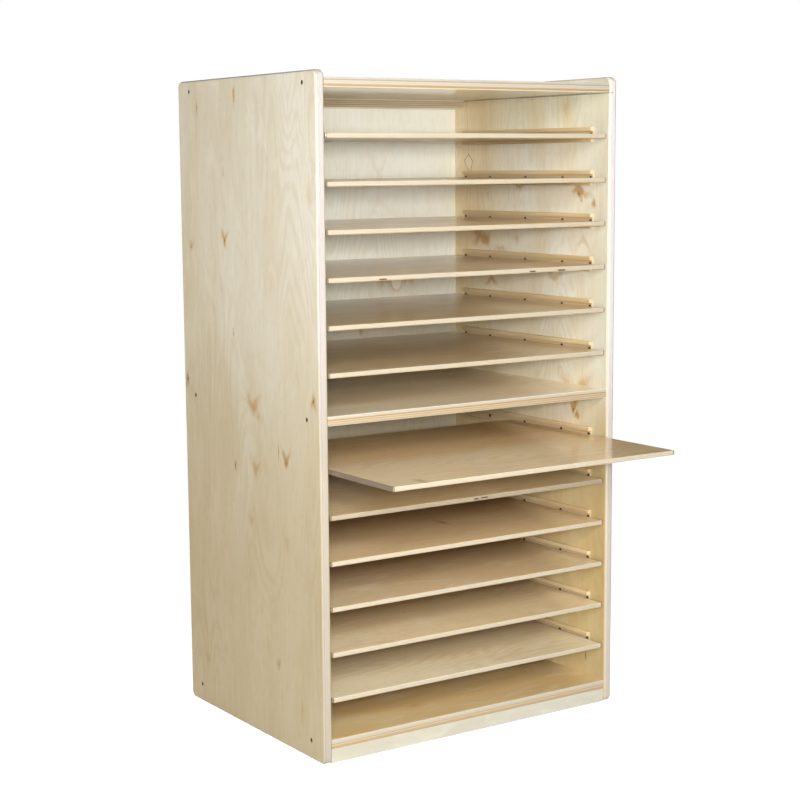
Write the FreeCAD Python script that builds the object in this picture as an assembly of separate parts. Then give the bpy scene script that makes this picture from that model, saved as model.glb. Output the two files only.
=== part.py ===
import FreeCAD, Part
import math
import os

Vector = FreeCAD.Vector

# Tray cabinet for large paper. Millimetres, +Z up, the open front faces -Y.
# The origin is on the floor, in the middle of the footprint as it stands, with the
# pulled-out tray counted in.

# ---- Driving dimensions ----
cabinet_width = 702.0
cabinet_depth = 536.0
cabinet_height = 1282.0
panel_thickness = 18.0         # sides, top, fixed shelves and kick board
side_corner_radius = 13.0      # corners of a side panel, seen from the side
side_edge_round = 5.0          # rounded-over edge of a side panel
shelf_edge_round = 2.0         # front edges of the top and of the fixed shelves

top_drop = 12.5                # the sides stand this much above the top panel
top_setback = 1.5              # front edges behind the front of the side panels
middle_setback = 3.0
bottom_setback = 2.5
kick_setback = 5.0
kick_height = 28.0

back_thickness = 6.0
back_inset = 6.0               # back panel in front of the rear edges of the sides
back_housing_depth = 6.0       # how far the back panel enters each side panel
back_floor_gap = 6.0
back_edge_clearance = 0.3
batten_depth = 33.0            # strip under the top, against the back panel
batten_height = 18.0

trays_per_bay = 6
first_tray_drop = 81.0         # bay ceiling to the top face of its first tray
last_tray_rise = 78.75         # bay floor to the top face of its last tray
tray_thickness = 9.0
tray_setback = 4.5
tray_home_gap = 1.0            # tray's rear edge to the back panel when pushed home
tray_corner_radius = 2.5
tray_edge_round = 1.5
tray_side_clearance = 1.5      # tray edge to the web of its rail, each side
tray_rest_gap = 0.3            # running gap under a tray in its rails
pulled_tray = 7                # counted from the top
tray_pull = 209.0              # how far that tray stands out

rail_thickness = 8.0           # how far a rail stands in from the side panel
rail_web = 2.0                 # wood left behind the groove
rail_lower_lip = 6.5
rail_upper_lip = 7.5
rail_head_room = 7.0           # free height above a tray inside the groove
rail_front_inset = 48.0        # front of the side panel to the rail's front end
rail_back_gap = 37.0           # rail's rear end to the back panel
rail_edge_round = 1.5

rail_screw_radius = 1.6
rail_screw_head_radius = 4.0
rail_screw_head_depth = 2.0
rail_screw_length = 15.0
rail_screw_end_inset = 6.0
rail_screw_pitch = 124.0       # middle screw of a rail to its neighbours

case_screw_radius = 2.1
case_screw_head_radius = 4.3
case_screw_head_depth = 3.0
case_screw_sink = 0.8          # head below the face of the side panel
case_screw_length = 46.0
case_screw_edge_inset = 48.0   # screws in from the front and rear of the side panels

back_screw_radius = 1.5
back_screw_head_radius = 3.6
back_screw_head_depth = 1.6
back_screw_length = 22.0
back_screws_across = 5
back_screw_end_inset = 60.0

drive_slot_length_share = 0.9  # cross recess, as a share of the head's radius
drive_slot_width = 1.0
drive_slot_depth = 1.3

near = 0.01                    # two places this close are the same place

# ---- Places worked out from them ----
pull_reach = tray_pull - tray_setback
cabinet_front = (pull_reach - cabinet_depth) / 2
cabinet_rear = cabinet_front + cabinet_depth
outer_x = cabinet_width / 2
inner_x = outer_x - panel_thickness

back_rear = cabinet_rear - back_inset
back_front = back_rear - back_thickness

top_top = cabinet_height - top_drop
top_under = top_top - panel_thickness
bottom_top = kick_height + panel_thickness
bay_height = (top_under - bottom_top - panel_thickness) / 2
middle_under = bottom_top + bay_height
middle_top = middle_under + panel_thickness
tray_pitch = (bay_height - first_tray_drop - last_tray_rise) / (trays_per_bay - 1)

tray_width = 2 * (inner_x - rail_web - tray_side_clearance)
tray_depth = back_front - tray_home_gap - cabinet_front - tray_setback
rail_groove_height = tray_thickness + tray_rest_gap + rail_head_room
rail_height = rail_lower_lip + rail_groove_height + rail_upper_lip
rail_front = cabinet_front + rail_front_inset
rail_rear = back_front - rail_back_gap
rail_length = rail_rear - rail_front


def tray_tops():
    """Top faces of all the trays, from the highest down."""
    tops = []
    for ceiling in (top_under, middle_under):
        for number in range(trays_per_bay):
            tops.append(ceiling - first_tray_drop - number * tray_pitch)
    return tops


def rail_bottom(tray_top):
    return tray_top - tray_thickness - tray_rest_gap - rail_lower_lip


def box(x0, x1, y0, y1, z0, z1):
    corner = Vector(min(x0, x1), min(y0, y1), min(z0, z1))
    return Part.makeBox(abs(x1 - x0), abs(y1 - y0), abs(z1 - z0), corner)


def edges_where(shape, test):
    """Straight edges of a shape whose middle point and direction pass a test."""
    picked = []
    for edge in shape.Edges:
        start, end = edge.Vertexes[0].Point, edge.Vertexes[-1].Point
        if (end - start).Length > 0 and test((start + end) * 0.5, (end - start).normalize()):
            picked.append(edge)
    return picked


def front_round(shape, radius):
    """Rounds the two long edges at the front of a board that runs across the cabinet."""
    front = shape.BoundBox.YMin
    edges = edges_where(shape, lambda middle, along: abs(along.x) > 0.9 and abs(middle.y - front) < near)
    return shape.makeFillet(radius, edges)


# ---- Screws ----
def countersunk_cutter(radius, head_radius, head_depth, length, sink):
    """Space for a countersunk screw along +X, its face at x = sink below x = 0."""
    along = Vector(1, 0, 0)
    shank = Part.makeCylinder(radius, length, Vector(sink, 0, 0), along)
    cone = Part.makeCone(head_radius, radius, head_depth, Vector(sink, 0, 0), along)
    space = shank.fuse(cone)
    if sink > 0:
        space = space.fuse(Part.makeCylinder(head_radius, sink, Vector(0, 0, 0), along))
    return space


def cross_recess(head_radius, face):
    reach = head_radius * drive_slot_length_share
    half = drive_slot_width / 2
    upright = box(face, face + drive_slot_depth, -half, half, -reach / 2, reach / 2)
    level = box(face, face + drive_slot_depth, -reach / 2, reach / 2, -half, half)
    return upright.fuse(level)


def countersunk_screw(radius, head_radius, head_depth, length, sink):
    along = Vector(1, 0, 0)
    shank = Part.makeCylinder(radius, length, Vector(sink, 0, 0), along)
    cone = Part.makeCone(head_radius, radius, head_depth, Vector(sink, 0, 0), along)
    return shank.fuse(cone).cut(cross_recess(head_radius, sink))


def driven_into(side, shape, x, y, z):
    """Places a shape made along +X so that it points away from the middle or towards it."""
    placed = shape.copy()
    if side < 0:
        placed.rotate(Vector(0, 0, 0), Vector(0, 0, 1), 180)
    placed.translate(Vector(x, y, z))
    return placed


def case_screw_places():
    """Depth and height of the screws that hold the top and the fixed shelves."""
    depths = (cabinet_front + case_screw_edge_inset, cabinet_rear - case_screw_edge_inset)
    middles = (top_top, middle_top, bottom_top)
    return [(y, z - panel_thickness / 2) for y in depths for z in middles]


def rail_screw_places():
    """Depth and height of the screws in the rails of one side."""
    centre = (rail_front + rail_rear) / 2
    outer = rail_length / 2 - rail_screw_end_inset
    offsets = (-outer, -rail_screw_pitch, 0.0, rail_screw_pitch, outer)
    return [(centre + offset, rail_bottom(top) + rail_height / 2)
            for top in tray_tops() for offset in offsets]


def case_screw_shapes(side, make):
    """Screws or their spaces, from the outer face of a side panel inwards."""
    shape = make(case_screw_radius, case_screw_head_radius, case_screw_head_depth,
                 case_screw_length, case_screw_sink)
    return [driven_into(-side, shape, side * outer_x, y, z) for y, z in case_screw_places()]


def rail_screw_shapes(side, make, places):
    """Screws or their spaces, from the web of a rail outwards into the side panel."""
    shape = make(rail_screw_radius, rail_screw_head_radius, rail_screw_head_depth,
                 rail_screw_length, 0.0)
    web_face = side * (inner_x - rail_web)
    return [driven_into(side, shape, web_face, y, z) for y, z in places]


def back_screw_places():
    """Across and height of the screws that hold the back panel."""
    reach = inner_x - back_screw_end_inset
    step = 2 * reach / (back_screws_across - 1)
    heights = (top_under - batten_height / 2, middle_top - panel_thickness / 2,
               bottom_top - panel_thickness / 2)
    return [(-reach + number * step, z) for number in range(back_screws_across) for z in heights]


def back_screw_shank(x, z):
    return Part.makeCylinder(back_screw_radius, back_screw_length, Vector(x, back_rear, z), Vector(0, -1, 0))


def back_screw(x, z):
    head = Part.makeCylinder(back_screw_head_radius, back_screw_head_depth,
                             Vector(x, back_rear, z), Vector(0, 1, 0))
    face = head.BoundBox.YMax
    rim = [edge for edge in head.Edges if edge.Closed and abs(edge.BoundBox.YMax - face) < near]
    head = head.makeFillet(back_screw_head_depth / 2, rim)
    slot_reach = back_screw_head_radius * drive_slot_length_share / 2
    half = drive_slot_width / 2
    depth = back_screw_head_depth / 2
    recess = box(x - slot_reach, x + slot_reach, face - depth, face, z - half, z + half)
    recess = recess.fuse(box(x - half, x + half, face - depth, face, z - slot_reach, z + slot_reach))
    return head.fuse(back_screw_shank(x, z)).cut(recess)


# ---- Case ----
def side_panel(side):
    inner, outer = side * inner_x, side * outer_x
    panel = box(inner, outer, cabinet_front, cabinet_rear, 0, cabinet_height)
    corners = edges_where(panel, lambda middle, along: abs(along.x) > 0.9)
    panel = panel.makeFillet(side_corner_radius, corners)
    rims = [edge for edge in panel.Edges if edge.BoundBox.XLength < near]
    panel = panel.makeFillet(side_edge_round, rims)
    housing = box(inner, side * (inner_x + back_housing_depth), back_front, back_rear,
                  back_floor_gap, top_under)
    spaces = [housing]
    spaces += case_screw_shapes(side, countersunk_cutter)
    spaces += rail_screw_shapes(side, countersunk_cutter, rail_screw_places())
    return panel.cut(spaces)


def cross_board(setback, rear, z0, z1):
    """A board between the side panels, with the case screws' spaces in its ends."""
    board = box(-inner_x, inner_x, cabinet_front + setback, rear, z0, z1)
    board = front_round(board, shelf_edge_round)
    screws = case_screw_shapes(-1, countersunk_cutter) + case_screw_shapes(1, countersunk_cutter)
    shanks = [back_screw_shank(x, z) for x, z in back_screw_places()]
    return board.cut([space for space in screws + shanks if z0 < space.BoundBox.Center.z < z1])


def kick_board():
    front = cabinet_front + kick_setback
    return box(-inner_x, inner_x, front, front + panel_thickness, 0, kick_height)


def rear_batten():
    batten = box(-inner_x, inner_x, back_front - batten_depth, back_front,
                 top_under - batten_height, top_under)
    shanks = [back_screw_shank(x, z) for x, z in back_screw_places()]
    return batten.cut(shanks)


def back_panel():
    reach = inner_x + back_housing_depth - back_edge_clearance
    panel = box(-reach, reach, back_front, back_rear, back_floor_gap, top_under)
    shanks = [back_screw_shank(x, z) for x, z in back_screw_places()]
    return panel.cut(shanks)


# ---- Trays and rails ----
def tray(number, tray_top):
    front = cabinet_front + tray_setback
    if number == pulled_tray:
        front -= tray_pull
    half = tray_width / 2
    board = box(-half, half, front, front + tray_depth, tray_top - tray_thickness, tray_top)
    corners = edges_where(board, lambda middle, along: abs(along.z) > 0.9)
    board = board.makeFillet(tray_corner_radius, corners)
    rims = [edge for edge in board.Edges if edge.BoundBox.ZLength < near]
    return board.makeFillet(tray_edge_round, rims)


def rail(side, tray_top):
    """Grooved strip screwed to a side panel: the tray's edge slides in the groove."""
    low = rail_bottom(tray_top)
    face = side * (inner_x - rail_thickness)
    strip = box(side * inner_x, face, rail_front, rail_rear, low, low + rail_height)
    seen = edges_where(strip, lambda middle, along: abs(middle.x - face) < near)
    strip = strip.makeFillet(rail_edge_round, seen)
    groove_low = low + rail_lower_lip
    groove = box(side * (inner_x - rail_web), face, rail_front, rail_rear,
                 groove_low, groove_low + rail_groove_height)
    middle = low + rail_height / 2
    places = [place for place in rail_screw_places() if abs(place[1] - middle) < rail_height / 2]
    return strip.cut([groove] + rail_screw_shapes(side, countersunk_cutter, places))


def build():
    """Every node's name and shape."""
    nodes = {
        "side_panel_left": side_panel(-1),
        "side_panel_right": side_panel(1),
        "top_panel": cross_board(top_setback, back_rear, top_under, top_top),
        "middle_shelf": cross_board(middle_setback, back_front, middle_under, middle_top),
        "bottom_shelf": cross_board(bottom_setback, back_front, kick_height, bottom_top),
        "kick_board": kick_board(),
        "rear_batten": rear_batten(),
        "back_panel": back_panel(),
        "back_screws": Part.makeCompound([back_screw(x, z) for x, z in back_screw_places()]),
    }
    for side, word in ((-1, "left"), (1, "right")):
        nodes["case_screws_" + word] = Part.makeCompound(case_screw_shapes(side, countersunk_screw))
        rail_screws = rail_screw_shapes(side, countersunk_screw, rail_screw_places())
        nodes["rail_screws_" + word] = Part.makeCompound(rail_screws)
    for number, tray_top in enumerate(tray_tops(), start=1):
        nodes["tray_%02d" % number] = tray(number, tray_top)
        nodes["rail_left_%02d" % number] = rail(-1, tray_top)
        nodes["rail_right_%02d" % number] = rail(1, tray_top)
    return nodes


def main():
    os.makedirs("parts", exist_ok=True)
    for name, shape in build().items():
        shape.exportStep("parts/" + name + ".step")
        print(name, len(shape.Solids), "solids", round(shape.Volume), "mm3", shape.isValid())


main()
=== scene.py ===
import math
import bpy
from mathutils import Matrix, Vector


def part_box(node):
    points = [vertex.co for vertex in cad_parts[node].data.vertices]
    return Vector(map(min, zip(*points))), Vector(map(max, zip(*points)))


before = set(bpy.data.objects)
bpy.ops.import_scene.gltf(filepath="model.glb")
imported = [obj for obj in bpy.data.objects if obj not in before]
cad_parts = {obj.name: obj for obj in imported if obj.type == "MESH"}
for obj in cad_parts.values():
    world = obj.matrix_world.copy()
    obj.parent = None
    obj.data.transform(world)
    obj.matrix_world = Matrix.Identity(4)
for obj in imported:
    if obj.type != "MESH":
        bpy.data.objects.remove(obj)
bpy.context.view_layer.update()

mm = 0.001


def linear(red, green, blue):          # screen colour 0-255 to scene-linear
    parts = []
    for part in (red, green, blue):
        share = part / 255
        if share <= 0.04045:
            parts.append(share / 12.92)
        else:
            parts.append(((share + 0.055) / 1.055) ** 2.4)
    return (*parts, 1.0)


class Value:                           # one socket, so that shader maths reads as maths
    def __init__(self, shader, socket):
        self.shader = shader
        self.socket = socket

    def maths(self, operation, first, second=None, third=None):
        inputs = {0: first}
        if second is not None:
            inputs[1] = second
        if third is not None:
            inputs[2] = third
        return self.shader.node("ShaderNodeMath", {"operation": operation}, inputs)

    def __add__(self, other):
        return self.maths("ADD", self, other)

    def __radd__(self, other):
        return self.maths("ADD", other, self)

    def __sub__(self, other):
        return self.maths("SUBTRACT", self, other)

    def __rsub__(self, other):
        return self.maths("SUBTRACT", other, self)

    def __mul__(self, other):
        return self.maths("MULTIPLY", self, other)

    def __rmul__(self, other):
        return self.maths("MULTIPLY", other, self)

    def __truediv__(self, other):
        return self.maths("DIVIDE", self, other)

    def __pow__(self, other):
        return self.maths("POWER", self, other)

    def __abs__(self):
        return self.maths("ABSOLUTE", self)

    def floor(self):
        return self.maths("FLOOR", self)

    def fraction(self):
        return self.maths("FRACT", self)

    def sine(self):
        return self.maths("SINE", self)

    def fadeOut(self):                 # 1 at zero, falling like a bell as the value grows
        return self.maths("POWER", math.e, self * -1.0)

    def step(self, low, high):         # smooth 0 to 1 between low and high
        return self.shader.node("ShaderNodeMapRange", {"interpolation_type": "SMOOTHSTEP"},
                                {"Value": self, "From Min": low, "From Max": high})


class Shader:                          # one material and the way its nodes are made
    def __init__(self, name):
        self.material = bpy.data.materials.new(name)
        self.material.use_nodes = True
        self.tree = self.material.node_tree
        self.tree.nodes.clear()

    def node(self, kind, settings, inputs, output=0):
        made = self.tree.nodes.new(kind)
        for key, value in settings.items():
            if key == "stops":
                self.setStops(made.color_ramp, value)
            else:
                setattr(made, key, value)
        for key, value in inputs.items():
            if isinstance(value, Value):
                self.tree.links.new(value.socket, made.inputs[key])
            else:
                made.inputs[key].default_value = value
        return Value(self, made.outputs[output]) if len(made.outputs) else None

    def setStops(self, ramp, stops):   # each stop is (position, colour), held up to the next
        ramp.interpolation = "CONSTANT"
        ramp.elements[0].color = stops[0][1]
        ramp.elements[1].color = stops[-1][1]
        for position, colour in stops[1:]:
            ramp.elements.new(position).color = colour

    def place(self):                   # the point on the object, as x, y, z
        coordinate = self.node("ShaderNodeTexCoord", {}, {}, "Object")
        split = self.node("ShaderNodeSeparateXYZ", {}, {0: coordinate})
        outputs = split.socket.node.outputs
        return {axis: Value(self, outputs[number]) for number, axis in enumerate("xyz")}

    def vector(self, x, y, z):
        return self.node("ShaderNodeCombineXYZ", {}, {0: x, 1: y, 2: z})

    def noise(self, x, y, z, detail=2.0, roughness=0.5, distortion=0.0):
        return self.node("ShaderNodeTexNoise", {"noise_dimensions": "3D"},
                         {"Vector": self.vector(x, y, z), "Scale": 1.0, "Detail": detail,
                          "Roughness": roughness, "Distortion": distortion})

    def blend(self, share, first, second):
        return self.node("ShaderNodeMix", {"data_type": "RGBA"}, {0: share, 6: first, 7: second}, 2)

    def darker(self, colour, share, amount):     # colour times (1 - share * amount)
        shade = 1.0 - share * amount
        grey = self.node("ShaderNodeCombineColor", {}, {0: shade, 1: shade, 2: shade})
        return self.node("ShaderNodeMix", {"data_type": "RGBA", "blend_type": "MULTIPLY"},
                         {0: 1.0, 6: colour, 7: grey}, 2)

    def tinted(self, colour, share, tint):
        return self.node("ShaderNodeMix", {"data_type": "RGBA", "blend_type": "MULTIPLY"},
                         {0: share, 6: colour, 7: tint}, 2)

    def relief(self, height):          # the wood's shallow grain
        return self.node("ShaderNodeBump", {}, {"Strength": 0.1, "Distance": 0.2 * mm, "Height": height})

    def surface(self, settings):
        shaded = self.node("ShaderNodeBsdfPrincipled", {}, settings, "BSDF")
        self.node("ShaderNodeOutputMaterial", {}, {"Surface": shaded})
        return self.material


# The veneer and the plies of birch plywood, as one finish for any board
veneer = {
    "line": linear(205, 180, 138),
    "light": linear(246, 240, 224),
    "knotHalo": linear(198, 166, 116),
    "knotCore": linear(130, 94, 56),
    "seam": linear(92, 66, 44),
    "thickness": 0.7 * mm,
    "roughness": 0.48,
    "reflection": 0.30,
    "coat": 0.70,
    "coatRoughness": 0.10,
}
plyShades = {
    "white": linear(238, 233, 222),
    "cream": linear(235, 221, 192),
    "tan": linear(222, 196, 150),
    "orange": linear(216, 172, 108),
    "grey": linear(204, 186, 168),
    "lilac": linear(218, 204, 208),
}
# The noises of the figure: across and along scales, offset of the seed, detail, roughness, distortion
veneerNoise = {
    "flow": (5.2, 1.0, 3.1, 2.0, 0.4, 0.0),
    "grown": (6.0, 2.2, 9.6, 1.0, 0.5, 0.0),
    "cloud": (9.0, 2.4, 7.7, 3.0, 0.5, 0.4),
    "flame": (30.0, 9.0, 4.2, 2.0, 0.5, 1.0),
    "curl": (70.0, 24.0, 6.4, 2.0, 0.6, 1.6),
    "streak": (110.0, 2.0, 1.9, 2.0, 0.5, 0.0),
    "fibre": (420.0, 12.0, 5.3, 2.0, 0.6, 0.0),
}
veneerShares = {"ringLine": 0.20, "curl": 0.16, "streak": 0.12, "flame": 0.24, "fibre": 0.10}
ringWaves = 150.0                      # how often the figure's flow is crossed by a growth ring
knotPull = 0.06                        # how far a knot bends the rings round it
plyMarks = {
    "glue": linear(158, 128, 100), "void": linear(92, 64, 42),
    "waviness": 0.035, "waveScale": 11.0,
    "grainScale": 460.0, "grainRise": 22.0, "grainShare": 0.14,
    "openingScale": 7.0, "openingSeed": 7.3,
}
knotEdge = {"reach": 11.0 * mm, "length": 22.0 * mm}      # how far a knot's outline strays across and along


def knotted(shader, across, along, knots):
    # Each knot: across, along, half width, half height, halo, core, and bend, which lifts its two
    # arms into a V (below 0: lowers them); places and sizes in metres
    rough = shader.noise(across * 90.0, along * 60.0, 4.4, 2.0)
    ragged = shader.noise(across * 80.0, along * 50.0, 8.8, 2.0)
    across = across + (rough - 0.5) * knotEdge["reach"]
    along = along + (ragged - 0.5) * knotEdge["length"]
    halo = None
    core = None
    for knotAcross, knotAlong, halfWidth, halfHeight, haloShare, coreShare, bend in knots:
        aside = across - knotAcross
        rise = along - (knotAlong + halfHeight * 0.4) - abs(aside) * bend
        spread = (aside / halfWidth) ** 2.0 + (rise / halfHeight) ** 2.0
        soft = spread.fadeOut() * haloShare
        hard = (spread * 9.0).fadeOut() * coreShare
        halo = soft if halo is None else halo + soft
        core = hard if core is None else core + hard
    return halo, core


def veneerFace(shader, across, along, board, knots, shown):
    def pattern(name):
        acrossScale, alongScale, offset, detail, roughness, distortion = veneerNoise[name]
        return shader.noise(across * acrossScale, along * alongScale, board["seed"] + offset,
                            detail, roughness, distortion)

    figure = board["figure"]
    flow = pattern("flow")
    if knots:
        halo, core = (strength * shown for strength in knotted(shader, across, along, knots))
        flow = flow + halo * knotPull
    rings = abs((flow * ringWaves).sine()).step(0.60, 1.0) * pattern("grown").step(0.38, 0.62)
    cloud = pattern("cloud")
    flame = pattern("flame")
    curl = pattern("curl")
    streak = pattern("streak")
    fibre = pattern("fibre")

    colour = shader.blend(cloud.step(0.32, 0.70), board["pale"], board["warm"])
    colour = shader.blend(rings * veneerShares["ringLine"] * figure, colour, veneer["line"])
    colour = shader.blend(curl.step(0.50, 0.68) * veneerShares["curl"] * figure, colour, veneer["line"])
    colour = shader.blend(streak.step(0.50, 0.78) * veneerShares["streak"] * figure, colour, veneer["line"])
    colour = shader.blend(flame.step(0.52, 0.72) * veneerShares["flame"] * figure, colour, veneer["light"])
    colour = shader.darker(colour, fibre, veneerShares["fibre"])
    if knots:
        colour = shader.blend(halo.step(0.02, 0.80), colour, veneer["knotHalo"])
        colour = shader.blend(core.step(0.1, 0.9), colour, veneer["knotCore"])
    return colour, fibre


def plyEdge(shader, across, along, rise, board):
    count = len(board["plies"])
    waves, grains, openings = plyMarks["waveScale"], plyMarks["grainScale"], plyMarks["openingScale"]
    wave = shader.noise(across * waves, along * waves, board["seed"], 2.0)
    wavy = rise + (wave - 0.5) * plyMarks["waviness"]
    stops = [(number / count, plyShades[shade]) for number, shade in enumerate(board["plies"])]
    colour = shader.node("ShaderNodeValToRGB", {"stops": stops}, {0: wavy})
    layer = wavy * float(count)
    glueLine = abs(layer.fraction() - 0.5).step(0.34, 0.5)
    endGrain = shader.noise(across * grains, along * grains, rise * plyMarks["grainRise"], 2.0, 0.6)
    plySeed = layer.floor() * plyMarks["openingSeed"]
    opening = shader.noise(across * openings, along * openings, plySeed, 1.0).step(0.735, 0.75)
    parity = (layer.floor() * 0.5).fraction() * 2.0
    colour = shader.blend(glueLine * board["glue"], colour, plyMarks["glue"])
    colour = shader.blend(opening * parity * board["voids"], colour, plyMarks["void"])
    return shader.darker(colour, endGrain, plyMarks["grainShare"]), endGrain


def boardFinish(name, board, low, high, knots=(), marks=None):
    shader = Shader(name)
    place = shader.place()
    face, grain = board["face"], board["grain"]
    crossAxis = [axis for axis in "xyz" if axis not in (face, grain)][0]
    across, along, through = place[crossAxis], place[grain], place[face]
    bottom = low["xyz".index(face)]
    thickness = high["xyz".index(face)] - bottom

    # Knots, marks and painted shading lie on one face alone: 1 there and 0 on the other
    shown = ((through - (bottom + thickness / 2)) * board["shown"]).step(-0.5 * mm, 0.5 * mm)
    colour, fibre = veneerFace(shader, across, along, board, knots, shown)
    for axis, start, end, tint in board["paintedShading"]:       # painted light and shade: the board turns to the tint from start to end
        colour = shader.tinted(colour, turned(place[axis], start, end) * shown, tint)
    edge, endGrain = plyEdge(shader, across, along, (through - bottom) / thickness, board)
    edge = shader.tinted(edge, 1.0, board["edge"])
    # painted shade on the ply edges, darker towards the foot
    for axis, start, end, tint in board["paintedEdgeShading"]:
        edge = shader.tinted(edge, turned(place[axis], start, end), tint)
    depth = thickness / 2 - abs(through - (bottom + thickness / 2))
    inside = depth.step(veneer["thickness"] * 0.8, veneer["thickness"])
    for middle, halfLength, height in board.get("openings", ()):    # places where a ply stops short
        slit = 1.0 - abs(along - middle * mm).step(halfLength * 0.8 * mm, halfLength * mm)
        slit = slit * (1.0 - abs((through - bottom) / thickness - height).step(0.12, 0.20))
        edge = shader.blend(slit, edge, plyMarks["void"])
    colour = shader.blend(inside, colour, edge)
    if marks:
        colour = marks(shader, place, colour, shown)

    relief = fibre * (1.0 - inside) + endGrain * inside
    bump = shader.relief(relief)
    roughness = veneer["roughness"] + fibre * 0.10 + inside * 0.10
    return shader.surface({"Base Color": colour, "Roughness": roughness, "Normal": bump,
                           "Specular IOR Level": veneer["reflection"],
                           "Coat Weight": board.get("coat", veneer["coat"]),
                           "Coat Roughness": veneer["coatRoughness"]})


def turned(value, start, end):         # 0 at the start and 1 at the end, whichever is the higher
    if start < end:
        return value.step(start, end)
    return 1.0 - value.step(end, start)


def dress(node, material):
    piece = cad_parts[node]
    piece.data.materials.clear()
    piece.data.materials.append(material)


# Case: where each board lies, how its grain runs, its plies from its low face up, and its tones.
# "shown" is 1 where knots, marks and painted shading lie on the high face and -1 where on the low one. Each
# entry of painted shading is the axis, where it starts, where it is full, and the colour the board is
# multiplied by.
# painted shade: the left side panel is darkened towards its foot
sideFootShade = (0.66, 0.58, 0.425, 1.0)
plainBoard = {
    "glue": 0.34, "voids": 0.7, "edge": (0.62, 0.61, 0.60, 1.0), "paintedEdgeShading": (), "paintedShading": (),
}
caseBoards = {
    "side_panel_left": {
        "face": "x", "grain": "z", "seed": 2.3, "shown": -1, "figure": 1.0, "glue": 0.10, "voids": 0.0,
        "plies": ("white", "lilac", "white", "white", "white", "white", "white", "white", "cream"),
        "pale": linear(233, 226, 208), "warm": linear(224, 213, 187),
        "edge": (0.60, 0.575, 0.58, 1.0),
        # painted shade: the ply edges darker towards the foot, and the face darker towards the foot and
        # towards the back
        "paintedEdgeShading": (("z", 0.85, 0.50, (0.85, 0.82, 0.70, 1.0)),),
        "paintedShading": (("z", 1.00, 0.25, sideFootShade), ("y", 0.05, 0.36, (1.0, 0.96, 0.89, 1.0))),
    },
    "side_panel_right": {
        "face": "x", "grain": "z", "seed": 14.1, "shown": -1, "figure": 1.0, "glue": 0.10, "voids": 0.0,
        "plies": ("cream", "white", "white", "white", "white", "white", "white", "lilac", "grey"),
        "pale": linear(240, 241, 231), "warm": linear(231, 222, 195),
        "edge": (0.80, 0.775, 0.80, 1.0),
        # painted shade: the ply edges darker towards the foot, and the face darker towards the foot,
        # towards the back, just under the top panel and at the front
        "paintedEdgeShading": (("z", 0.85, 0.35, (0.78, 0.74, 0.66, 1.0)),),
        "paintedShading": (("z", 0.72, 0.42, (0.78, 0.65, 0.42, 1.0)), ("y", 0.0, 0.36, (0.88, 0.73, 0.50, 1.0)),
                  ("z", 1.15, 1.21, (0.92, 0.90, 0.84, 1.0)),
                  ("y", -0.02, -0.17, (0.79, 0.775, 0.73, 1.0))),
    },
    "back_panel": {
        "face": "y", "grain": "z", "seed": 21.7, "shown": -1, "figure": 0.7,
        "plies": ("cream", "tan", "cream", "tan", "cream"),
        "pale": linear(240, 241, 230), "warm": linear(236, 234, 217),
        # painted shade: darker over the lower part
        "paintedShading": (("z", 0.92, 0.66, (0.62, 0.54, 0.44, 1.0)),),
    },
    "top_panel": {
        "face": "z", "grain": "x", "seed": 33.3, "shown": 1, "figure": 0.6, "coat": 1.0,
        "plies": ("cream", "orange", "tan", "white", "cream", "white", "grey", "cream", "white"),
        "pale": linear(252, 253, 241), "warm": linear(247, 243, 222),
    },
    "middle_shelf": {
        "face": "z", "grain": "x", "seed": 41.9, "shown": 1, "figure": 0.8,
        "plies": ("cream", "tan", "cream", "tan", "cream", "orange", "cream", "white", "white"),
        "pale": linear(252, 242, 217), "warm": linear(244, 227, 192),
        # painted light: lighter towards the right
        "paintedShading": (("x", -0.10, 0.25, (1.12, 1.13, 1.15, 1.0)),),
    },
    "bottom_shelf": {
        "face": "z", "grain": "x", "seed": 57.2, "shown": 1, "figure": 1.0,
        "plies": ("orange", "tan", "tan", "cream", "tan", "cream", "cream", "white", "white"),
        "pale": linear(228, 205, 158), "warm": linear(219, 188, 132),
        # painted shade: darker towards the back
        "paintedShading": (("y", -0.11, 0.16, (0.58, 0.50, 0.40, 1.0)),),
    },
    "kick_board": {
        "face": "y", "grain": "x", "seed": 61.5, "shown": -1, "figure": 0.5,
        "plies": ("cream", "tan", "white", "tan", "cream", "tan", "white", "tan", "cream"),
        "pale": linear(193, 190, 176), "warm": linear(186, 181, 163),
    },
    "rear_batten": {
        "face": "z", "grain": "x", "seed": 72.8, "shown": 1, "figure": 0.8,
        "plies": ("cream", "tan", "cream", "orange", "cream", "tan", "cream", "tan", "cream"),
        "pale": linear(245, 232, 193), "warm": linear(234, 216, 170),
    },
}
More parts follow.
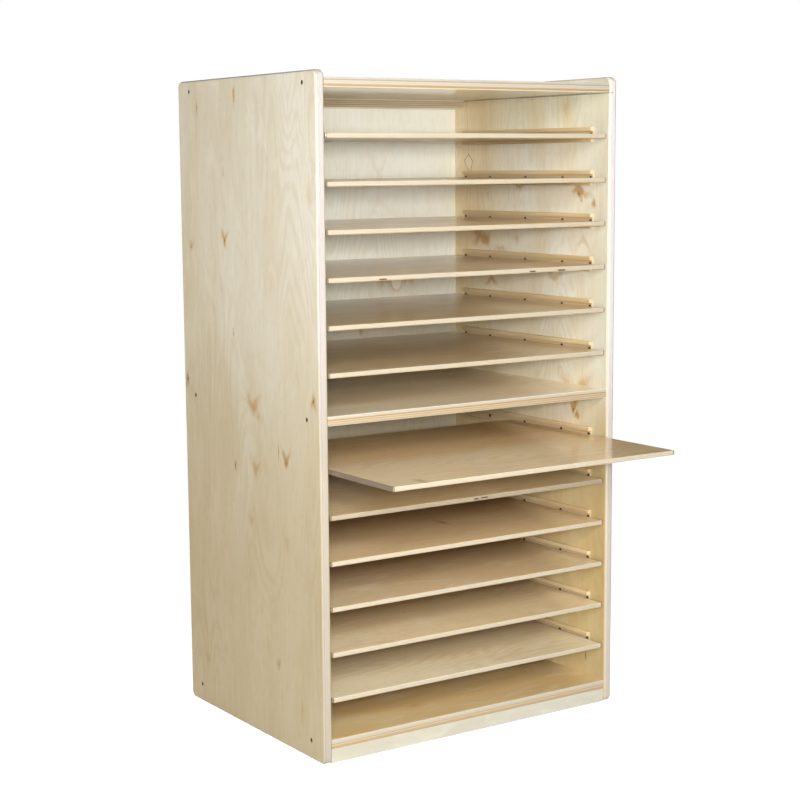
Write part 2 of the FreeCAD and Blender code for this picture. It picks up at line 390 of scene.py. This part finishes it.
# Knots: across, along, half width, half height in mm, then the strength of halo and core, and the bend
boardKnots = {
    "side_panel_left": (
        (289, 1220, 4, 16, 0.65, 0.7, 0.0), (137, 1237, 5, 20, 0.65, 0.4, 0.0),
        (137, 1248, 9, 8, 0.3, 0.0, 1.5), (185, 1094, 6, 12, 0.40, 0.15, 0.8),
        (184, 962, 13, 12, 0.80, 0.8, 1.2), (326, 946, 11, 12, 0.60, 0.5, 0.9),
        (-140, 1044, 15, 24, 0.35, 0.0, 1.2), (156, 786, 2.5, 9, 0.60, 0.9, 0.0),
        (356, 673, 8, 14, 0.80, 0.9, -1.2), (-144, 682, 10, 14, 0.85, 0.9, -1.3),
        (82, 641, 26, 14, 0.70, 0.2, 0.9), (62, 628, 9, 12, 0.45, 0.1, 0.5),
        (-12, 566, 2.5, 18, 0.80, 0.9, 0.0), (-40, 552, 16, 12, 0.85, 0.6, 1.4),
        (157, 518, 6, 12, 0.60, 0.9, 0.8), (75, 520, 20, 14, 0.60, 0.1, 1.0),
        (0, 149, 8, 12, 0.65, 0.3, 1.0), (293, 91, 14, 20, 0.35, 0.0, 0.6),
        (-85, 75, 4, 36, 0.40, 0.0, 0.0), (98, 417, 14, 12, 0.40, 0.05, 1.0),
        (-38, 392, 16, 14, 0.35, 0.0, 1.2)),
    "side_panel_right": (
        (-70, 1062, 20, 8, 0.80, 0.3, -0.6), (-74, 1049, 9, 9, 0.90, 0.9, 0.0),
        (-81, 1034, 5, 6, 0.60, 0.4, 0.0), (-119, 1031, 7, 8, 0.75, 0.6, -0.5),
        (-102, 1044, 20, 8, 0.35, 0.0, 0.0), (124, 1060, 24, 9, 0.55, 0.0, 0.5),
        (264, 948, 28, 12, 0.75, 0.2, -0.6), (240, 944, 13, 14, 0.65, 0.3, 0.6),
        (281, 962, 22, 9, 0.65, 0.0, 0.3), (190, 926, 28, 9, 0.45, 0.0, 0.0),
        (135, 947, 13, 12, 0.40, 0.3, 0.0), (-60, 602, 8, 8, 0.95, 0.8, 1.2),
        (-72, 592, 7, 7, 0.90, 0.6, -0.5), (-64, 616, 40, 18, 0.50, 0.0, 1.1),
        (-66, 640, 60, 22, 0.35, 0.0, 0.5), (5, 869, 32, 9, 0.55, 0.1, 0.6),
        (223, 861, 24, 8, 0.65, 0.2, -0.6), (-105, 82, 3, 10, 0.80, 0.9, 0.0),
        (-29, 1217, 16, 18, 0.35, 0.0, 0.8), (-86, 958, 34, 8, 0.40, 0.0, -1.0)),
    "back_panel": (
        (127, 1070, 8, 9, 0.70, 0.5, 1.0), (127, 1088, 34, 12, 0.25, 0.0, 1.7),
        (128, 1030, 44, 16, 0.22, 0.0, -0.9), (142, 866, 16, 18, 0.85, 0.1, -1.0),
        (203, 868, 16, 18, 0.85, 0.1, -1.0), (258, 867, 20, 10, 0.45, 0.0, -0.8),
        (232, 962, 50, 14, 0.30, 0.0, 0.5), (77, 749, 8, 12, 0.60, 0.3, 0.6)),
    "bottom_shelf": ((-79, -101, 14, 30, 0.50, 0.35, 0.0),),
    "tray_07": ((-354, -260, 30, 10, 0.60, 0.3, 0.0),),
    "tray_09": ((14, 46, 30, 10, 0.60, 0.4, 0.0),),
}


def knotsOf(node):
    knots = boardKnots.get(node, ())
    return [tuple(size * mm for size in knot[:4]) + knot[4:] for knot in knots]


# A kite of new veneer let into the right side, and the slanting joint that runs through it
kite = {
    "corners": ((307.1, 1134.0), (323.3, 1121.2), (302.7, 1089.0), (292.2, 1119.4)),      # y, z in mm
    "middle": (306.0, 1117.0),
    "line": 0.9 * mm,
}
veneerJoint = {"low": (300.5, 1055.7), "high": (311.0, 1196.3), "width": 0.8 * mm, "share": 0.45}
topSeam = {"height": 1250.8 * mm, "width": 1.1 * mm, "share": 0.7}


def sideOf(place, first, second, inner):
    # Distance in metres from the line through two (y, z) points in mm, more than 0 where the inner point is
    run, rise = second[0] - first[0], second[1] - first[1]
    length = math.hypot(run, rise)
    facing = math.copysign(1.0, run * (inner[1] - first[1]) - rise * (inner[0] - first[0]))
    overFirst = (place["z"] - first[1] * mm) * (run / length)
    pastFirst = (place["y"] - first[0] * mm) * (rise / length)
    return (overFirst - pastFirst) * facing


def rightSideMarks(shader, place, colour, shown):
    corners = kite["corners"]
    inside = None
    for number, corner in enumerate(corners):
        reach = sideOf(place, corner, corners[(number + 1) % len(corners)], kite["middle"])
        inside = reach if inside is None else inside.maths("MINIMUM", inside, reach)
    outline = 1.0 - abs(inside).step(kite["line"] * 0.5, kite["line"] * 1.2)
    fromJoint = abs(sideOf(place, veneerJoint["low"], veneerJoint["high"], (0.0, 0.0)))
    joint = 1.0 - fromJoint.step(veneerJoint["width"] * 0.4, veneerJoint["width"])
    outer = 1.0 - inside.step(-1.0 * mm, 0.0)
    high = place["z"].step(1.02, 1.10)
    seam = 1.0 - abs(place["z"] - topSeam["height"]).step(topSeam["width"] * 0.5, topSeam["width"])
    colour = shader.blend(joint * outer * high * shown * veneerJoint["share"], colour, veneer["seam"])
    colour = shader.blend(seam * shown * topSeam["share"], colour, veneer["seam"])
    return shader.blend(outline * shown * 0.8, colour, veneer["seam"])


# A pale tongue in the figure of the back panel
tongue = {"x": 172 * mm, "z": 862 * mm, "halfWidth": 15 * mm, "halfHeight": 26 * mm, "line": 0.16}


def tongueMarks(shader, place, colour, shown):
    reach = (((place["x"] - tongue["x"]) / tongue["halfWidth"]) ** 2.0
             + ((place["z"] - tongue["z"]) / tongue["halfHeight"]) ** 2.0)
    outline = 1.0 - abs(reach - 1.0).step(0.0, tongue["line"] * 3.0)
    colour = shader.blend((1.0 - reach.step(0.80, 1.0)) * shown * 0.8, colour, veneer["light"])
    return shader.blend(outline * shown * 0.45, colour, veneer["knotHalo"])


boardMarks = {"side_panel_right": rightSideMarks, "back_panel": tongueMarks}
for node, board in caseBoards.items():
    low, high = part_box(node)
    board = {**plainBoard, **board}
    dress(node, boardFinish(node.replace("_", " "), board, low, high, knotsOf(node), boardMarks.get(node)))
print("case boards finished")

# Trays: all alike but for the tone of the sheet of plywood each was cut from, and the painted light and
# shade on trays 7 to 12
trayBoard = {
    "face": "z", "grain": "x", "figure": 1.2, "shown": 1,
    "plies": ("tan", "white", "cream", "white", "cream"), "glue": 0.40, "voids": 0.35,
    "pale": linear(229, 209, 174), "warm": linear(220, 198, 157), "edge": (0.64, 0.62, 0.575, 1.0),
    "paintedEdgeShading": (), "paintedShading": (),
}
# Tones: "openings" are where a ply stops short at the front: along in mm, half length in mm, height
# as a share of the thickness
shadedDepth = ("y", -0.08, 0.14, (0.58, 0.46, 0.36, 1.0))     # painted shade: browner towards the back
trayTones = {
    "tray_03": {"pale": linear(226, 195, 148), "warm": linear(217, 184, 133)},
    # painted light and shade: tray 7's tones are lighter, and it is painted darker towards the back and
    # towards the right
    "tray_07": {"pale": linear(254, 234, 197), "warm": linear(251, 226, 183),
                "paintedShading": (("y", -0.30, 0.05, (0.68, 0.62, 0.53, 1.0)),
                          ("x", 0.0, 0.30, (0.86, 0.78, 0.66, 1.0)))},
    "tray_04": {"openings": ((-208.5, 9, 0.27), (143, 8, 0.30), (216, 10, 0.30))},
    # painted shadow: tray 8's ply edge is darkened for the shadow of tray 7 on it
    "tray_08": {"edge": (0.50, 0.47, 0.41, 1.0), "openings": ((5.5, 6, 0.45), (25, 9, 0.52)),
                "paintedShading": (shadedDepth,)},
    "tray_09": {"pale": linear(238, 215, 175), "warm": linear(230, 205, 160), "paintedShading": (shadedDepth,)},
    "tray_10": {"paintedShading": (shadedDepth,)},
    "tray_11": {"pale": linear(247, 230, 194), "warm": linear(240, 220, 178), "paintedShading": (shadedDepth,)},
    "tray_12": {"pale": linear(243, 233, 205), "warm": linear(238, 224, 190), "paintedShading": (shadedDepth,)},
}
traySeeds = {"first": 90.0, "step": 6.7}
trayEndShade = {"start": 325.4 * mm, "end": 326.6 * mm, "share": 0.75}     # painted shade: each end of a tray is painted dark, for the shade in the narrow gap beside it


def trayEndShadeMarks(shader, place, colour, shown):
    # painted shade in the gap at each end of a tray
    wearAndShade = abs(place["x"]).step(trayEndShade["start"], trayEndShade["end"])
    return shader.blend(wearAndShade * trayEndShade["share"], colour, veneer["seam"])


trayNodes = sorted(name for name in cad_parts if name.startswith("tray_"))
for number, node in enumerate(trayNodes):
    low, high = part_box(node)
    seed = traySeeds["first"] + number * traySeeds["step"]
    board = {**trayBoard, "seed": seed, **trayTones.get(node, {})}
    dress(node, boardFinish(node.replace("_", " "), board, low, high, knotsOf(node), trayEndShadeMarks))
print("trays finished")


# Rails: the face in its own tone, with painted light on top and at the front end, and painted shade down in
# the groove
railTones = {
    "pale": linear(216, 194, 152), "warm": linear(198, 171, 126),
    "top": linear(228, 208, 168), "web": linear(198, 172, 132),
    "frontHighlight": 1.2 * mm, "webDepth": 0.6 * mm, "topDepth": 1.6 * mm,
    "fibreScale": 300.0, "fibreAlong": 7.0, "cloudScale": 20.0, "cloudAlong": 5.0,
}


def railFinish(bay, lowest, height, pitch, front, webFace):
    shader = Shader("rail wood, " + bay)
    place = shader.place()
    rise = ((place["z"] - (lowest - 1.0 * mm)) / pitch).fraction() * pitch - 1.0 * mm
    fine, fineAlong = railTones["fibreScale"], railTones["fibreAlong"]
    coarse, coarseAlong = railTones["cloudScale"], railTones["cloudAlong"]
    fibre = shader.noise(place["x"] * fine, place["y"] * fineAlong, place["z"] * fine, 3.0, 0.6)
    cloud = shader.noise(place["x"] * coarse, place["y"] * coarseAlong, place["z"] * coarse, 2.0)
    colour = shader.blend(cloud.step(0.3, 0.7), railTones["pale"], railTones["warm"])
    # painted highlight: the top of each rail lighter
    top = rise.step(height - railTones["topDepth"], height - 0.2 * mm)
    colour = shader.blend(top, colour, railTones["top"])
    # painted shade: darker down in the groove
    web = abs(place["x"]).step(webFace - railTones["webDepth"], webFace - 0.1 * mm)
    colour = shader.blend(web, colour, railTones["web"])
    # painted highlight: the front end of each rail lighter
    frontHighlight = 1.0 - place["y"].step(front, front + railTones["frontHighlight"])
    colour = shader.blend(frontHighlight * 0.4, colour, railTones["top"])
    colour = shader.darker(colour, fibre, 0.12)
    bump = shader.relief(fibre)
    return shader.surface({"Base Color": colour, "Roughness": 0.5 + fibre * 0.1, "Normal": bump,
                           "Specular IOR Level": veneer["reflection"]})


screwTones = {"dark": linear(38, 34, 30), "wearAndShade": linear(70, 62, 54), "grain": 900.0}


def screwFinish():
    shader = Shader("black screw")
    place = shader.place()
    fine = screwTones["grain"]
    grain = shader.noise(place["x"] * fine, place["y"] * fine, place["z"] * fine, 3.0)
    colour = shader.blend(grain, screwTones["dark"], screwTones["wearAndShade"])
    return shader.surface({"Base Color": colour, "Metallic": 0.6, "Roughness": 0.42 + grain * 0.2})


railLow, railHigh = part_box("rail_right_06")
railAbove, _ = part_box("rail_right_05")
shelfRailLow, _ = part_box("rail_right_12")
railShape = {
    "height": railHigh[2] - railLow[2],
    "pitch": railAbove[2] - railLow[2],
    "front": railLow[1],
    "webFace": railHigh[0] - 2.0 * mm,
}
upperRail = railFinish("upper bay", railLow[2], **railShape)
lowerRail = railFinish("lower bay", shelfRailLow[2], **railShape)
blackScrew = screwFinish()
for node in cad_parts:
    if "screws" in node:
        dress(node, blackScrew)
    elif node.startswith("rail_"):
        dress(node, upperRail if int(node[-2:]) <= 6 else lowerRail)
print("rails and screws finished")

# Floor, white surround and lamps
stage = {
    "floorSize": 40.0,
    "floorColour": 0.86,
    "floorLift": 0.80,                  # light of its own, so that the open floor is white
    "floorShade": 0.55,
    "shadowEnd": (0.45, 1.15),          # from the middle, where the floor's shadow fades away
    "ambient": 0.04,
    "lamps": (
        {"name": "front", "place": (-1.908, -3.053, 1.2), "aim": (0.0, 0.0, 0.8),
         "size": 0.35, "power": 124.0},
        {"name": "high", "place": (-1.85, -2.96, 2.0), "aim": (0.0, 0.0, 0.7),
         "size": 1.1, "power": 84.0},
        {"name": "rear", "place": (0.4, 3.8, 1.6), "aim": (0.0, 0.2, 0.7),
         "size": 1.6, "power": 90.0, "mirrored": False},
        {"name": "overhead", "place": (0.1, -0.7, 3.2), "aim": (0.0, -0.3, 0.7),
         "size": 1.5, "power": 12.0},
    ),
}


def whiteFloor():
    bpy.ops.object.select_all(action="DESELECT")
    bpy.ops.mesh.primitive_plane_add(size=stage["floorSize"])
    floor = bpy.context.object
    floor.name = "floor"
    shader = Shader("pale floor")
    grey = stage["floorColour"]
    matt = shader.node("ShaderNodeBsdfDiffuse", {}, {"Color": (grey, grey, grey, 1.0)})
    pale = shader.node("ShaderNodeBsdfDiffuse", {}, {"Color": (stage["floorShade"],) * 3 + (1.0,)})
    glow = shader.node("ShaderNodeEmission", {}, {"Strength": stage["floorLift"]})
    shaded = shader.node("ShaderNodeAddShader", {}, {0: pale, 1: glow})
    white = shader.node("ShaderNodeEmission", {}, {"Strength": 1.0})
    place = shader.place()
    away = (place["x"] ** 2.0 + place["y"] ** 2.0) ** 0.5
    beyond = away.step(*stage["shadowEnd"])
    openFloor = shader.node("ShaderNodeMixShader", {}, {0: beyond, 1: shaded, 2: white})
    seen = shader.node("ShaderNodeLightPath", {}, {}, "Is Camera Ray")
    mixed = shader.node("ShaderNodeMixShader", {}, {0: seen, 1: matt, 2: openFloor})
    shader.node("ShaderNodeOutputMaterial", {}, {"Surface": mixed})
    floor.data.materials.append(shader.material)


def whiteSurround():
    world = bpy.data.worlds.new("white surround")
    world.use_nodes = True
    nodes = world.node_tree.nodes
    links = world.node_tree.links
    nodes.clear()
    path = nodes.new("ShaderNodeLightPath")
    ambient = nodes.new("ShaderNodeBackground")
    ambient.inputs["Strength"].default_value = stage["ambient"]
    white = nodes.new("ShaderNodeBackground")
    white.inputs["Strength"].default_value = 1.0
    for background in (ambient, white):
        background.inputs["Color"].default_value = (1.0, 1.0, 1.0, 1.0)
    mixed = nodes.new("ShaderNodeMixShader")
    links.new(path.outputs["Is Camera Ray"], mixed.inputs[0])
    links.new(ambient.outputs[0], mixed.inputs[1])
    links.new(white.outputs[0], mixed.inputs[2])
    output = nodes.new("ShaderNodeOutputWorld")
    links.new(mixed.outputs[0], output.inputs["Surface"])
    bpy.context.scene.world = world


def lamp(name, place, aim, size, power, mirrored=True):
    data = bpy.data.lights.new(name, "AREA")
    data.shape = "SQUARE"
    data.size = size
    data.energy = power
    made = bpy.data.objects.new(name, data)
    made.location = place
    made.rotation_euler = (Vector(aim) - Vector(place)).to_track_quat("-Z", "Y").to_euler()
    made.visible_glossy = mirrored
    bpy.context.collection.objects.link(made)


whiteFloor()
whiteSurround()
for settings in stage["lamps"]:
    lamp(**settings)
print("stage lit")

# Camera
camera = {"place": (-1.98077, -2.83514, 1.11349), "turn": 0.58536, "down": 0.13977, "tilt": -0.00840,
          "lens": 78.185, "sensor": 36.0, "shift": (0.01985, 0.01112)}
data = bpy.data.cameras.new("camera")
data.sensor_width = camera["sensor"]
data.lens = camera["lens"]
data.shift_x, data.shift_y = camera["shift"]
viewer = bpy.data.objects.new("camera", data)
aimed = Matrix.Rotation(-camera["turn"], 4, "Z") @ Matrix.Rotation(math.pi / 2 - camera["down"], 4, "X")
viewer.matrix_world = Matrix.Translation(camera["place"]) @ aimed @ Matrix.Rotation(camera["tilt"], 4, "Z")
bpy.context.collection.objects.link(viewer)
bpy.context.scene.camera = viewer
bpy.context.scene.view_settings.view_transform = "Standard"
